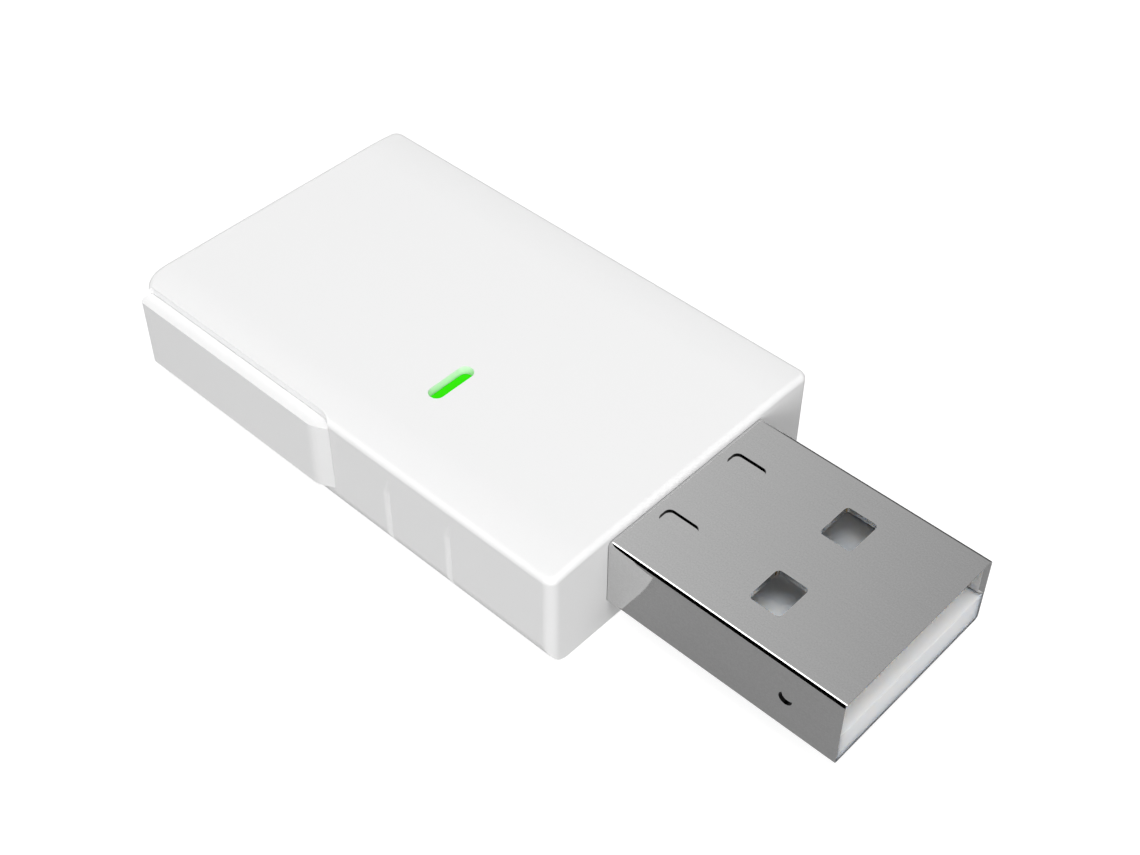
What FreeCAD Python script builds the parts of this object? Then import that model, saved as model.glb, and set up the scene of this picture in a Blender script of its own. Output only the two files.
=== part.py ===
import FreeCAD, Part

import math
import os

Vector = FreeCAD.Vector

# USB gateway dongle: a flat moulded housing with a type A plug on its front end.
# Millimetres. The origin is the centre of the plug's section in the plane of the
# housing's front wall. +X runs out along the plug, +Y to the far long side, +Z up.

# Plug section, reach and folded sheet
plug_width = 12.0
plug_height = 4.5
plug_reach = 14.3
plug_bend = 0.26
plug_inner_bend = 0.08
sheet = 0.3
mouth_rim = 0.1
shell_root = 4.8
seam_gap = 0.08
dovetail_length = 2.4
dovetail_neck = 1.2
dovetail_head = 2.0
dovetail_setback = 6.0

# Windows, pressed tabs and side dimples in the plug's shell
window_length = 1.9
window_width = 2.35
window_setback = 5.33
window_pitch = 5.57
window_corner = 0.25
tab_length = 2.1
tab_width = 1.0
tab_start = 0.62
tab_pitch = 5.33
tab_corner = 0.35
press_depth = 0.12
dimple_radius = 0.4
dimple_setback = 3.13

# Solder legs of the shell
leg_width = 1.2
leg_flange = 0.75
leg_depth = 1.5
leg_setbacks = (2.1, 4.0)

# Insulator and contacts
tongue_drop = 0.2
block_reach = 2.4
contact_width = 1.0
contact_sheet = 0.25
contact_seat = 0.12
contact_pitch_outer = 7.0
contact_pitch_inner = 2.0
contact_setback_outer = 1.6
contact_setback_inner = 2.5
contact_cover_end = 8.4
contact_dip = 0.4
contact_foot = 1.2
contact_heel = 0.4

# Housing outside
housing_length = 32.3
housing_width = 20.2
top_above_axis = 2.75
bottom_below_axis = 3.95
bottom_edge_radius = 1.4
top_edge_radius = 0.35
crown_width = 2.8
crown_drop = 0.16
corner_radius = 0.6
button_corner_radius = 1.9

# Housing walls and the gaps between moulded pieces
side_wall = 1.5
end_wall = 1.2
roof = 1.2
floor = 1.1
inner_corner = 0.5
moulding_gap = 0.04
plug_gap = 0.02
plug_rest_inset = 1.2

# Lamp slot and light pipe
slot_length = 3.05
slot_width = 0.95
slot_back = 13.36
slot_inset = 6.45
lens_recess = 0.5
lens_edge_radius = 0.07
pipe_gap = 0.03
pipe_flange = 0.6
pipe_flange_height = 0.5
pipe_lamp_gap = 0.25

# Side button
button_start = 15.96
button_tail_setback = 0.92
button_height = 4.46
button_centre_z = -0.09
button_proud = 0.47
button_ramp = 0.9
button_ramp_radius = 1.25
button_end_radius = 0.42
button_plate = 0.9
button_travel = 0.3
button_gap = 0.03
button_stop_gap = 0.12
step_runout = 1.1
step_tail_radius = 0.25
window_inset = 1.6
button_window_height = 3.0
catch_leg = 0.9
catch_hook = 0.3
catch_hook_depth = 0.6
press_post_width = 2.4
press_post_height = 1.6

# Relief grooves in the near wall, either side of the cover's catch
groove_edges = (6.96, 11.43)
groove_width = 0.55
groove_depth = 0.38
groove_top = 1.7
groove_fade = 1.3
groove_tip_depth = 0.02

# Circuit board
board_thickness = 0.8
board_top_z = -0.8
board_gap = 0.3
board_notch_gap = 0.3
board_tail_gap = 0.5
board_button_setback = 3.2
board_button_start = 14.6

# Posts that clamp the board, with locating pins
post_radius = 0.9
pin_radius = 0.45
pin_gap = 0.08
pin_length = 0.6
post_front_setback = 5.9
post_front_inset = 1.2
post_tail_setback = 1.8
post_tail_inset = 1.4

# Cover catches
arm_width = 3.0
arm_sheet = 0.8
arm_height = 0.9
arm_nub = 0.3
arm_back = 9.2

# Side-push switch under the button
switch_width = 4.0
switch_depth = 3.0
switch_height = 2.0
switch_edge_inset = 0.5
plunger_width = 1.6
plunger_height = 1.0
plunger_length = 1.1
plunger_seat = 0.6
plunger_gap = 0.03

# Derived places
half_width = housing_width / 2
slot_side = half_width - slot_inset
tail_x = -housing_length
roof_z = top_above_axis
floor_z = -bottom_below_axis
cavity_side = half_width - side_wall
cavity_front = -end_wall
cavity_tail = tail_x + end_wall
ceiling_z = roof_z - roof
button_tail_x = tail_x + button_tail_setback
cover_top_z = floor_z + floor
board_bottom_z = board_top_z - board_thickness
plug_half = plug_width / 2
plug_top = plug_height / 2
shell_inner_half = plug_half - sheet
shell_inner_top = plug_top - sheet
tongue_z = -tongue_drop
board_button_edge = -half_width + board_button_setback
post_front = (cavity_front - post_front_setback, cavity_side - post_front_inset)
post_tail_x = cavity_tail + post_tail_setback
post_places = (
    (post_front[0], -post_front[1]),
    post_front,
    (post_tail_x, board_button_edge + post_tail_inset),
    (post_tail_x, cavity_side - post_tail_inset),
)


def on_plan(z):
    """Place (x, y) outline points at height z."""
    return lambda u, v: Vector(u, v, z)


def on_section(x):
    """Place (y, z) outline points at station x."""
    return lambda u, v: Vector(x, u, v)


def on_side(y):
    """Place (x, z) outline points at side y."""
    return lambda u, v: Vector(u, y, v)


def rounded_wire(corners, place):
    """Closed outline through corners (u, v, radius), each turned by a tangent arc."""
    count = len(corners)
    arcs = []
    for index, (u, v, radius) in enumerate(corners):
        here = Vector(u, v, 0)
        back = Vector(corners[index - 1][0], corners[index - 1][1], 0) - here
        ahead = Vector(corners[(index + 1) % count][0], corners[(index + 1) % count][1], 0) - here
        back.normalize()
        ahead.normalize()
        if radius == 0:
            arcs.append((here, None, here))
            continue
        half_angle = back.getAngle(ahead) / 2
        reach = radius / math.tan(half_angle)
        bisector = back + ahead
        bisector.normalize()
        middle = here + bisector * (radius / math.sin(half_angle) - radius)
        arcs.append((here + back * reach, middle, here + ahead * reach))
    edges = []
    for index, (start, middle, end) in enumerate(arcs):
        if middle is not None:
            points = [place(p.x, p.y) for p in (start, middle, end)]
            edges.append(Part.Arc(*points).toShape())
        following = arcs[(index + 1) % count][0]
        if (following - end).Length > 1e-6:
            edges.append(Part.makeLine(place(end.x, end.y), place(following.x, following.y)))
    return Part.Wire(edges)


def prism(corners, place, sweep):
    """Solid swept from a rounded outline."""
    return Part.Face(rounded_wire(corners, place)).extrude(sweep)


def block(x0, x1, y0, y1, z0, z1):
    """Axis-aligned box between two corners."""
    low = Vector(min(x0, x1), min(y0, y1), min(z0, z1))
    return Part.makeBox(abs(x1 - x0), abs(y1 - y0), abs(z1 - z0), low)


def rectangle(u0, u1, v0, v1, radius=0.0):
    """Corner list of a rectangle with one radius."""
    return [(u0, v0, radius), (u1, v0, radius), (u1, v1, radius), (u0, v1, radius)]


def fused(pieces):
    """One solid out of touching pieces."""
    whole = pieces[0]
    for piece in pieces[1:]:
        whole = whole.fuse(piece)
    return whole.removeSplitter()


def slotted(length, width, x, y, z0, z1):
    """Upright stadium prism, long along Y."""
    corners = rectangle(x - width / 2, x + width / 2, y - length / 2, y + length / 2, width / 2 - 1e-4)
    return prism(corners, on_plan(z0), Vector(0, 0, z1 - z0))


def plan_corners(inset, radius_scale_corner, radius_button_corner):
    """Housing plan outline moved inwards by inset."""
    return [
        (tail_x + inset, -half_width + inset, radius_button_corner),
        (-inset, -half_width + inset, radius_scale_corner),
        (-inset, half_width - inset, radius_scale_corner),
        (tail_x + inset, half_width - inset, radius_scale_corner),
    ]


def housing_form():
    """Outside of the housing: the plan outline raised and trimmed to its cross-section."""
    raised = prism(
        plan_corners(0, corner_radius, button_corner_radius),
        on_plan(floor_z),
        Vector(0, 0, roof_z - floor_z),
    )
    crown_angle = math.atan2(crown_drop, crown_width / 2)
    crown_radius = crown_width / 2 / math.tan(crown_angle / 2)
    crown_corner = half_width - crown_width / 2
    section = prism(
        [
            (-half_width, floor_z, bottom_edge_radius),
            (half_width, floor_z, bottom_edge_radius),
            (half_width, roof_z - crown_drop, 0),
            (crown_corner, roof_z, crown_radius * 0.98),
            (-crown_corner, roof_z, crown_radius * 0.98),
            (-half_width, roof_z - crown_drop, 0),
        ],
        on_section(tail_x),
        Vector(housing_length, 0, 0),
    )
    form = raised.common(section)
    walls = rounded_wire(plan_corners(0, corner_radius, button_corner_radius), on_plan(0))
    rim = []
    for edge in form.Edges:
        middle = edge.valueAt((edge.FirstParameter + edge.LastParameter) / 2)
        flat = Part.Vertex(Vector(middle.x, middle.y, 0))
        if middle.z > roof_z - crown_drop - 0.01 and walls.distToShape(flat)[0] < 0.001:
            rim.append(edge)
    return form.makeFillet(top_edge_radius, rim)


def button_plan():
    """Plan outline of the button's plate, with its ramp down to the wall at the plug end."""
    outer = -half_width - button_proud
    return [
        (button_tail_x, button_back_y, 0),
        (button_tail_x, outer, button_end_radius),
        (-button_start - button_ramp, outer, button_ramp_radius),
        (-button_start, -half_width, 0),
        (-button_start, button_back_y, 0),
    ]


button_low = button_centre_z - button_height / 2
button_high = button_centre_z + button_height / 2
button_back_y = -half_width - button_proud + button_plate
pocket_y = button_back_y + button_travel + button_stop_gap
window_low = button_centre_z - button_window_height / 2
window_high = button_centre_z + button_window_height / 2
window_front = -button_start - window_inset
window_tail = button_tail_x + window_inset


def button_pocket():
    """Recess the button's plate sinks into, its window, and the set-back wall above it."""
    recess = block(button_tail_x - button_gap, -button_start + button_gap, -half_width - 1, pocket_y,
                   button_low - button_gap, button_high + button_gap)
    window = block(window_tail, window_front, -half_width, -cavity_side + 0.01, window_low, window_high)
    step_depth = button_back_y + half_width
    step_radius = (step_runout ** 2 + step_depth ** 2) / (2 * step_depth)
    half_sweep = math.asin(step_runout / step_radius) / 2
    arc_start = Vector(-button_start - step_runout, button_back_y, button_high)
    arc_end = Vector(-button_start, -half_width, button_high)
    arc_middle = arc_start + Vector(math.sin(half_sweep), math.cos(half_sweep) - 1, 0) * step_radius
    tail_start = Vector(button_tail_x, button_back_y - step_tail_radius, button_high)
    tail_end = Vector(button_tail_x + step_tail_radius, button_back_y, button_high)
    diagonal = step_tail_radius * (1 - math.sqrt(0.5))
    tail_middle = Vector(button_tail_x + diagonal, button_back_y - diagonal, button_high)
    outside = Vector(0, -step_depth - 1, 0)
    edges = [
        Part.Arc(arc_start, arc_middle, arc_end).toShape(),
        Part.makeLine(arc_end, arc_end + outside),
        Part.makeLine(arc_end + outside, tail_start + outside),
        Part.makeLine(tail_start + outside, tail_start),
        Part.Arc(tail_start, tail_middle, tail_end).toShape(),
        Part.makeLine(tail_end, arc_start),
    ]
    step = Part.Face(Part.Wire(edges)).extrude(Vector(0, 0, roof_z - button_high + 1))
    return [recess, window, step]


def groove_section(edge_back, depth, z):
    """Closed outline of a groove: an arc that sinks from the wall to its deep edge, closed outside."""
    width = groove_width * depth / groove_depth
    radius = (width ** 2 + depth ** 2) / (2 * depth)
    half_sweep = math.asin(width / radius) / 2
    over = 0.5
    skin = 0.002
    start = Vector(-edge_back - width, -half_width - skin, z)
    middle = start + Vector(math.sin(half_sweep), 1 - math.cos(half_sweep), 0) * radius
    deep = start + Vector(width, depth, 0)
    outside = Vector(0, -over, 0)
    return Part.Wire([
        Part.Arc(start, middle, deep).toShape(),
        Part.makeLine(deep, deep + outside),
        Part.makeLine(deep + outside, Vector(start.x, deep.y - over, z)),
        Part.makeLine(Vector(start.x, deep.y - over, z), start),
    ])


def relief_groove(edge_back):
    """Groove with a curved floor and a sharp front edge, which runs out at its top."""
    shoulder = groove_top - groove_fade
    foot = Part.Face(groove_section(edge_back, groove_depth, floor_z - 1))
    body = foot.extrude(Vector(0, 0, shoulder - floor_z + 1))
    fade = Part.makeLoft(
        [groove_section(edge_back, groove_depth, shoulder), groove_section(edge_back, groove_tip_depth, groove_top)],
        True, True)
    return body.fuse(fade)


def catch_pocket(side, grow):
    """Pocket in a long wall for the nub of a cover arm; side is -1 near, +1 far."""
    wall = side * cavity_side
    low = cover_top_z + arm_height - arm_nub - grow
    return prism(
        [
            (wall - side * 0.2, low, 0),
            (wall + side * (arm_nub - moulding_gap + grow), low, 0),
            (wall + side * (arm_nub - moulding_gap + grow), low + arm_nub + grow, 0),
            (wall - side * 0.2, low + arm_nub * 1.5 + grow * 2 + 0.2, 0),
        ],
        on_section(-arm_back - arm_width / 2 - grow),
        Vector(arm_width + 2 * grow, 0, 0),
    )


def top_shell():
    """Moulded upper shell: roof, four walls, plug mouth, lamp slot, button pocket and posts."""
    shell = housing_form()
    cavity = prism(
        [
            (cavity_tail, -cavity_side, inner_corner),
            (cavity_front, -cavity_side, inner_corner),
            (cavity_front, cavity_side, inner_corner),
            (cavity_tail, cavity_side, inner_corner),
        ],
        on_plan(floor_z - 1),
        Vector(0, 0, ceiling_z - floor_z + 1),
    )
    plug_mouth = plug_section(plug_half + plug_gap, plug_top + plug_gap, plug_bend + plug_gap,
                              cavity_front - 1, 2 - cavity_front)
    plug_root = block(-shell_root - plug_gap, cavity_front, -plug_half - plug_gap, plug_half + plug_gap,
                      ceiling_z - 1, plug_top + plug_gap)
    lamp_slot = slotted(slot_length, slot_width, -slot_back, -slot_side, ceiling_z - 1, roof_z + 1)
    cutters = [cavity, plug_mouth, plug_root, lamp_slot] + button_pocket()
    cutters += [relief_groove(edge) for edge in groove_edges]
    cutters += [catch_pocket(side, moulding_gap) for side in (-1, 1)]
    for cutter in cutters:
        shell = shell.cut(cutter)
    pieces = [shell]
    for x, y in post_places:
        pieces.append(Part.makeCylinder(post_radius, ceiling_z - board_top_z, Vector(x, y, board_top_z)))
        pieces.append(Part.makeCylinder(pin_radius, pin_length + 0.5, Vector(x, y, board_top_z - pin_length)))
    return fused(pieces)


def bottom_cover():
    """Inset floor plate with its rest under the plug, board posts and snap arms."""
    gap = moulding_gap
    plate = prism(
        [
            (cavity_tail + gap, -cavity_side + gap, inner_corner - gap),
            (cavity_front - gap, -cavity_side + gap, inner_corner - gap),
            (cavity_front - gap, cavity_side - gap, inner_corner - gap),
            (cavity_tail + gap, cavity_side - gap, inner_corner - gap),
        ],
        on_plan(floor_z),
        Vector(0, 0, floor),
    )
    rest_half = plug_half - plug_rest_inset
    rest = block(-shell_root, cavity_front - gap, -rest_half, rest_half, cover_top_z, -plug_top - plug_gap)
    pieces = [plate, rest]
    for x, y in post_places:
        pieces.append(Part.makeCylinder(post_radius, board_bottom_z - cover_top_z, Vector(x, y, cover_top_z)))
    for side in (-1, 1):
        outer = side * (cavity_side - gap)
        low = cover_top_z + arm_height - arm_nub
        arm = block(-arm_back - arm_width / 2, -arm_back + arm_width / 2, outer, outer - side * arm_sheet,
                    cover_top_z, cover_top_z + arm_height)
        nub = prism(
            [
                (outer, low, 0),
                (outer + side * arm_nub, low, 0),
                (outer + side * arm_nub, low + arm_nub * 0.4, 0),
                (outer, low + arm_nub, 0),
            ],
            on_section(-arm_back - arm_width / 2),
            Vector(arm_width, 0, 0),
        )
        pieces += [arm, nub]
    return fused(pieces)


def side_button():
    """Button plate with its end ramp, two snap legs and the post that presses the switch."""
    plate = prism(button_plan(), on_plan(button_low), Vector(0, 0, button_height))
    hook_y = -cavity_side
    leg_low = window_low + button_gap
    leg_high = window_high - button_gap
    pieces = [plate]
    for end_x, outward in ((window_front - button_gap, 1), (window_tail + button_gap, -1)):
        leg = block(end_x, end_x - outward * catch_leg, button_back_y - 0.1, hook_y + catch_hook_depth,
                    leg_low, leg_high)
        reach = catch_hook + button_gap
        hook = prism(
            [
                (end_x, hook_y, 0),
                (end_x + outward * reach, hook_y, 0),
                (end_x, hook_y + catch_hook_depth, 0),
            ],
            on_plan(leg_low),
            Vector(0, 0, leg_high - leg_low),
        )
        pieces += [leg, hook]
    pieces.append(
        block(switch_x - press_post_width / 2, switch_x + press_post_width / 2,
              button_back_y - 0.1, plunger_tip_y,
              plunger_z - press_post_height / 2, plunger_z + press_post_height / 2))
    return fused(pieces)


switch_x = (window_front + window_tail) / 2
switch_front_y = board_button_edge + switch_edge_inset
plunger_tip_y = switch_front_y - (plunger_length - plunger_seat)
plunger_z = board_top_z + switch_height / 2


def light_pipe():
    """Clear stadium pipe with a flange under the roof."""
    lens_z = roof_z - lens_recess
    foot_z = board_top_z + lamp_height + pipe_lamp_gap
    stem = slotted(slot_length - 2 * pipe_gap, slot_width - 2 * pipe_gap, -slot_back, -slot_side,
                   foot_z, lens_z)
    stem = stem.makeFillet(lens_edge_radius, [e for e in stem.Edges if e.BoundBox.ZMin > lens_z - 0.001])
    flange = slotted(slot_length + 2 * pipe_flange, slot_width + 2 * pipe_flange, -slot_back, -slot_side,
                     ceiling_z - pipe_flange_height, ceiling_z)
    return fused([stem, flange])


def plug_section(half, top, bend, x0, length):
    """Rounded rectangular bar along X."""
    return prism(rectangle(-half, half, -top, top, bend), on_section(x0), Vector(length, 0, 0))


def pressed_tab(y, outer_z, grow):
    """Rounded rectangle pressed down into the top of the shell."""
    corners = rectangle(tab_start - grow, tab_start + tab_length + grow,
                        y - tab_width / 2 - grow, y + tab_width / 2 + grow, tab_corner)
    return prism(corners, on_plan(outer_z), Vector(0, 0, -sheet))


def mouth_flare():
    """Lead-in that thins the shell's inner edge at the mouth."""
    depth = sheet - mouth_rim
    narrow = rounded_wire(
        rectangle(-shell_inner_half, shell_inner_half, -shell_inner_top, shell_inner_top, plug_inner_bend),
        on_section(plug_reach - depth))
    half = plug_half - mouth_rim
    tall = plug_top - mouth_rim
    wide = rounded_wire(rectangle(-half, half, -tall, tall, plug_bend - mouth_rim), on_section(plug_reach))
    return Part.makeLoft([narrow, wide], True, True)


def plug_shell():
    """Folded steel tube with windows, pressed tabs, side dimples, seam and solder legs."""
    length = shell_root + plug_reach
    tube = plug_section(plug_half, plug_top, plug_bend, -shell_root, length)
    hollow = plug_section(shell_inner_half, shell_inner_top, plug_inner_bend, -shell_root - 1, length + 2)
    window_x = plug_reach - window_setback - window_length
    # Pressed forms stand proud inside by the depth they are sunk outside
    pushes = []
    sinks = []
    for side in (-1, 1):
        tab_y = side * tab_pitch / 2
        pushes.append(pressed_tab(tab_y, plug_top - press_depth, 0))
        sinks.append(pressed_tab(tab_y, plug_top + sheet - press_depth, 0))
        dimple_x = plug_reach - dimple_setback
        outer = Vector(dimple_x, side * (plug_half - press_depth), 0)
        pushes.append(Part.makeCylinder(dimple_radius, sheet, outer, Vector(0, -side, 0)))
        mouth = Vector(dimple_x, side * (plug_half + 1), 0)
        sinks.append(Part.makeCylinder(dimple_radius, 1 + press_depth, mouth, Vector(0, -side, 0)))
    shell = tube.cut(hollow).cut(mouth_flare())
    shell = fused([shell] + [push.common(tube) for push in pushes])
    for sink in sinks:
        shell = shell.cut(sink)
    for side in (-1, 1):
        middle = side * window_pitch / 2
        corners = rectangle(window_x, window_x + window_length,
                            middle - window_width / 2, middle + window_width / 2, window_corner)
        shell = shell.cut(prism(corners, on_plan(-plug_top - 1), Vector(0, 0, plug_height + 2)))
    shell = shell.cut(seam_cut())
    legs = []
    for setback in leg_setbacks:
        for side in (-1, 1):
            legs += solder_leg(-setback, side)
    return fused([shell] + legs)


def seam_cut():
    """Dovetailed seam along the underside."""
    half_gap = seam_gap / 2
    start = -shell_root - 1
    head_x = plug_reach - dovetail_setback
    neck = dovetail_neck / 2
    head = dovetail_head / 2

    def path(offset, flare):
        return [
            (start, offset),
            (head_x - neck - flare, offset),
            (head_x - head - flare, offset + dovetail_length / 2),
            (head_x + head + flare, offset + dovetail_length / 2),
            (head_x + neck + flare, offset),
            (plug_reach + 1, offset),
        ]

    upper = path(half_gap, half_gap)
    lower = path(-half_gap, -half_gap)
    points = [Vector(x, y, -plug_top - 1) for x, y in upper + lower[::-1]]
    strip = Part.Face(Part.makePolygon(points + points[:1]))
    return strip.extrude(Vector(0, 0, 1 + sheet + 0.2))


def solder_leg(x, side):
    """Flange that lies on the board beside the shell, with its leg down through the board."""
    root = side * (plug_half - sheet / 2)
    tip = side * (plug_half + leg_flange)
    low = board_top_z
    flange = block(x - leg_width / 2, x + leg_width / 2, root, tip, low, low + sheet)
    leg = block(x - leg_width / 2, x + leg_width / 2, tip - side * sheet, tip, low + sheet, low - leg_depth)
    return [flange, leg]


def contact_rows():
    """Side place and front setback of each contact."""
    return {
        "contact_power": (-contact_pitch_outer / 2, contact_setback_outer),
        "contact_data_minus": (-contact_pitch_inner / 2, contact_setback_inner),
        "contact_data_plus": (contact_pitch_inner / 2, contact_setback_inner),
        "contact_ground": (contact_pitch_outer / 2, contact_setback_outer),
    }


def contact(y, setback):
    """Strip on the tongue that dips under its plastic, then bends down to a foot on the board."""
    top = tongue_z + contact_sheet - contact_seat
    low = top - contact_sheet
    dip_x = contact_cover_end - contact_dip
    heel_x = -shell_root - contact_heel
    foot_x = heel_x - contact_foot
    corners = [
        (foot_x, board_top_z, 0),
        (heel_x, board_top_z, 0),
        (heel_x, low - contact_dip, 0),
        (dip_x, low - contact_dip, 0),
        (contact_cover_end, low, 0),
        (plug_reach - setback, low, 0),
        (plug_reach - setback, top, contact_sheet * 0.6),
        (contact_cover_end, top, 0),
        (dip_x, top - contact_dip, 0),
        (heel_x - contact_sheet, top - contact_dip, 0),
        (heel_x - contact_sheet, board_top_z + contact_sheet, 0),
        (foot_x, board_top_z + contact_sheet, 0),
    ]
    return prism(corners, on_side(y - contact_width / 2), Vector(0, contact_width, 0))


def plug_insulator():
    """Moulded tongue in the lower half of the plug and the block behind it."""
    fit = 0.0
    bar = plug_section(shell_inner_half - fit, shell_inner_top - fit, plug_inner_bend,
                       -shell_root, shell_root + plug_reach)
    above = block(block_reach, plug_reach + 1, -plug_half, plug_half, tongue_z, plug_top)
    body = bar.fuse(mouth_flare()).cut(above)
    for side in (-1, 1):
        tab = pressed_tab(side * tab_pitch / 2, plug_top - press_depth, 0)
        body = body.cut(tab)
        dimple = Vector(plug_reach - dimple_setback, side * (plug_half - press_depth), 0)
        body = body.cut(Part.makeCylinder(dimple_radius, sheet, dimple, Vector(0, -side, 0)))
    for y, setback in contact_rows().values():
        body = body.cut(contact(y, setback))
    return body


def board_outline():
    """Board outline with its notch for the plug and its set-back edge behind the button."""
    side = cavity_side - board_gap
    tail = cavity_tail + board_tail_gap
    front = cavity_front - board_gap
    notch = plug_half + board_notch_gap
    notch_x = -shell_root - 0.1
    return [
        (tail, board_button_edge, 0.5),
        (-board_button_start, board_button_edge, 0.5),
        (-board_button_start, -side, 0.3),
        (front, -side, 0.3),
        (front, -notch, 0),
        (notch_x, -notch, 0),
        (notch_x, notch, 0),
        (front, notch, 0),
        (front, side, 0.3),
        (tail, side, 0.5),
    ]


def circuit_board():
    """Glass-fibre board with pin holes and slots for the shell's legs."""
    board = prism(board_outline(), on_plan(board_bottom_z), Vector(0, 0, board_thickness))
    for x, y in post_places:
        board = board.cut(
            Part.makeCylinder(pin_radius + pin_gap, board_thickness + 2, Vector(x, y, board_bottom_z - 1)))
    for setback in leg_setbacks:
        for side in (-1, 1):
            tip = side * (plug_half + leg_flange + 0.1)
            slot = block(-setback - leg_width / 2 - 0.1, -setback + leg_width / 2 + 0.1,
                         tip - side * (sheet + 0.2), tip, board_bottom_z - 1, board_top_z + 1)
            board = board.cut(slot)
    return board


def switch_body():
    """Case of the side-push switch, with the mouth its plunger slides in."""
    case = block(switch_x - switch_width / 2, switch_x + switch_width / 2,
                 switch_front_y, switch_front_y + switch_depth, board_top_z, board_top_z + switch_height)
    half = plunger_width / 2 + plunger_gap
    tall = plunger_height / 2 + plunger_gap
    mouth = block(switch_x - half, switch_x + half, switch_front_y - 1,
                  switch_front_y + plunger_seat + button_travel + 0.1, plunger_z - tall, plunger_z + tall)
    return case.cut(mouth)


def switch_plunger():
    """Moving plunger of the switch, resting against the button's post."""
    half = plunger_width / 2
    tall = plunger_height / 2
    return block(switch_x - half, switch_x + half, plunger_tip_y, plunger_tip_y + plunger_length,
                 plunger_z - tall, plunger_z + tall)


# Parts soldered to the board: length along X, width along Y, height
part_gap = 0.5
lead_reach = 0.6
lead_pitch = 0.95
lead_width = 0.4
lead_sheet = 0.15
lamp_length = 0.8
lamp_width = 1.6
lamp_height = 0.6
can_height = 1.7
can_sheet = 0.2
can_front = 15.1
can_tail_gap = 6.4
can_wall_gap = 0.6
radio_size = 4.6
radio_height = 0.85
crystal_length = 1.6
crystal_width = 2.0
crystal_height = 0.5
memory_length = 3.0
memory_width = 4.0
memory_height = 0.75
memory_can_gap = 1.0
memory_wall_gap = 2.4
regulator_length = 1.6
regulator_width = 2.9
regulator_height = 1.1
inductor_size = 2.4
inductor_height = 1.0
protector_length = 1.6
protector_width = 2.9
protector_height = 1.0
front_row_gap = 0.8
antenna_length = 2.0
antenna_width = 6.0
antenna_height = 1.0
antenna_wall_gap = 1.5
antenna_side = 0.8
chip_length = 1.6
chip_width = 0.8
chip_cap_height = 0.8
chip_resistor_height = 0.45
chip_pitch = 1.3
end_cap = 0.3

# Their places: the front row stands behind the contacts' feet, the can behind the
# memory chip, the antenna at the tail wall with a row of chips between it and the can
front_row = shell_root + contact_heel + contact_foot + part_gap + lead_reach + protector_length / 2
regulator_side = protector_width / 2 + front_row_gap + regulator_width / 2
inductor_side = protector_width / 2 + front_row_gap + inductor_size / 2
can_tail = -cavity_tail - can_tail_gap
can_length = can_tail - can_front
can_width = 2 * can_sheet + 3 * part_gap + radio_size + crystal_width
can_back = (can_front + can_tail) / 2
can_side = cavity_side - can_wall_gap - can_width / 2
radio_back = can_front + can_sheet + part_gap + radio_size / 2
radio_side = can_side + can_width / 2 - can_sheet - part_gap - radio_size / 2
crystal_side = radio_side - radio_size / 2 - part_gap - crystal_width / 2
memory_back = can_front - memory_can_gap - memory_length / 2
memory_side = cavity_side - memory_wall_gap - memory_width / 2
antenna_back = -cavity_tail - antenna_wall_gap - antenna_length / 2
tail_row = can_tail + part_gap + chip_length / 2
lamp_row = can_front + part_gap + chip_length / 2
mid_row = front_row + protector_length / 2 + lead_reach + part_gap + chip_length / 2
capacitor_places = (
    (tail_row, antenna_side + chip_pitch / 2),
    (tail_row, antenna_side + chip_pitch * 1.5),
    (tail_row, antenna_side + chip_pitch * 2.5),
    (mid_row, 0),
    (memory_back, memory_side + memory_width / 2 + part_gap + chip_width / 2),
    (front_row + inductor_size / 2 + part_gap + chip_length / 2, -inductor_side),
)
resistor_places = (
    (tail_row, antenna_side - chip_pitch / 2),
    (lamp_row, -slot_side),
    (lamp_row, -slot_side - chip_pitch),
    (mid_row, -chip_pitch),
    (front_row + inductor_size, -inductor_side - inductor_size),
)


def chip_block(back, side, length, width, height, corner=0.1):
    """Moulded chip package on the board."""
    corners = rectangle(-back - length / 2, -back + length / 2, side - width / 2, side + width / 2, corner)
    return prism(corners, on_plan(board_top_z), Vector(0, 0, height))


def status_lamp():
    """Light-emitting diode under the light pipe."""
    base = chip_block(slot_back, -slot_side, lamp_length, lamp_width, lamp_height / 2, 0)
    lens = block(-slot_back - lamp_length / 2, -slot_back + lamp_length / 2,
                 -slot_side - lamp_width / 3, -slot_side + lamp_width / 3,
                 board_top_z, board_top_z + lamp_height)
    return fused([base, lens])


def shield_can():
    """Drawn metal lid over the radio, open underneath."""
    outer = chip_block(can_back, can_side, can_length, can_width, can_height, 0.5)
    inner = chip_block(can_back, can_side, can_length - 2 * can_sheet, can_width - 2 * can_sheet,
                       can_height - can_sheet, 0.3)
    return outer.cut(inner)


def leaded_chip(back, side, length, width, height):
    """Small moulded package with three flat leads along each X end."""
    body = chip_block(back, side, length, width, height, 0.05)
    pieces = [body]
    for place in (-1, 0, 1):
        for end in (-1, 1):
            x = -back + end * length / 2
            y = side + place * lead_pitch
            pieces.append(block(x - end * 0.05, x + end * lead_reach, y - lead_width / 2, y + lead_width / 2,
                                board_top_z, board_top_z + lead_sheet))
    return fused(pieces)


def chip_group(places, height):
    """Identical end-capped chip parts, separate solids in one node."""
    solids = []
    for back, side in places:
        body = block(-back - chip_length / 2 + end_cap / 2, -back + chip_length / 2 - end_cap / 2,
                     side - chip_width / 2 + 0.03, side + chip_width / 2 - 0.03,
                     board_top_z + 0.02, board_top_z + height - 0.03)
        caps = [
            block(-back + end * chip_length / 2, -back + end * (chip_length / 2 - end_cap),
                  side - chip_width / 2, side + chip_width / 2, board_top_z, board_top_z + height)
            for end in (-1, 1)
        ]
        solids.append(fused([body] + caps))
    return Part.makeCompound(solids)


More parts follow.
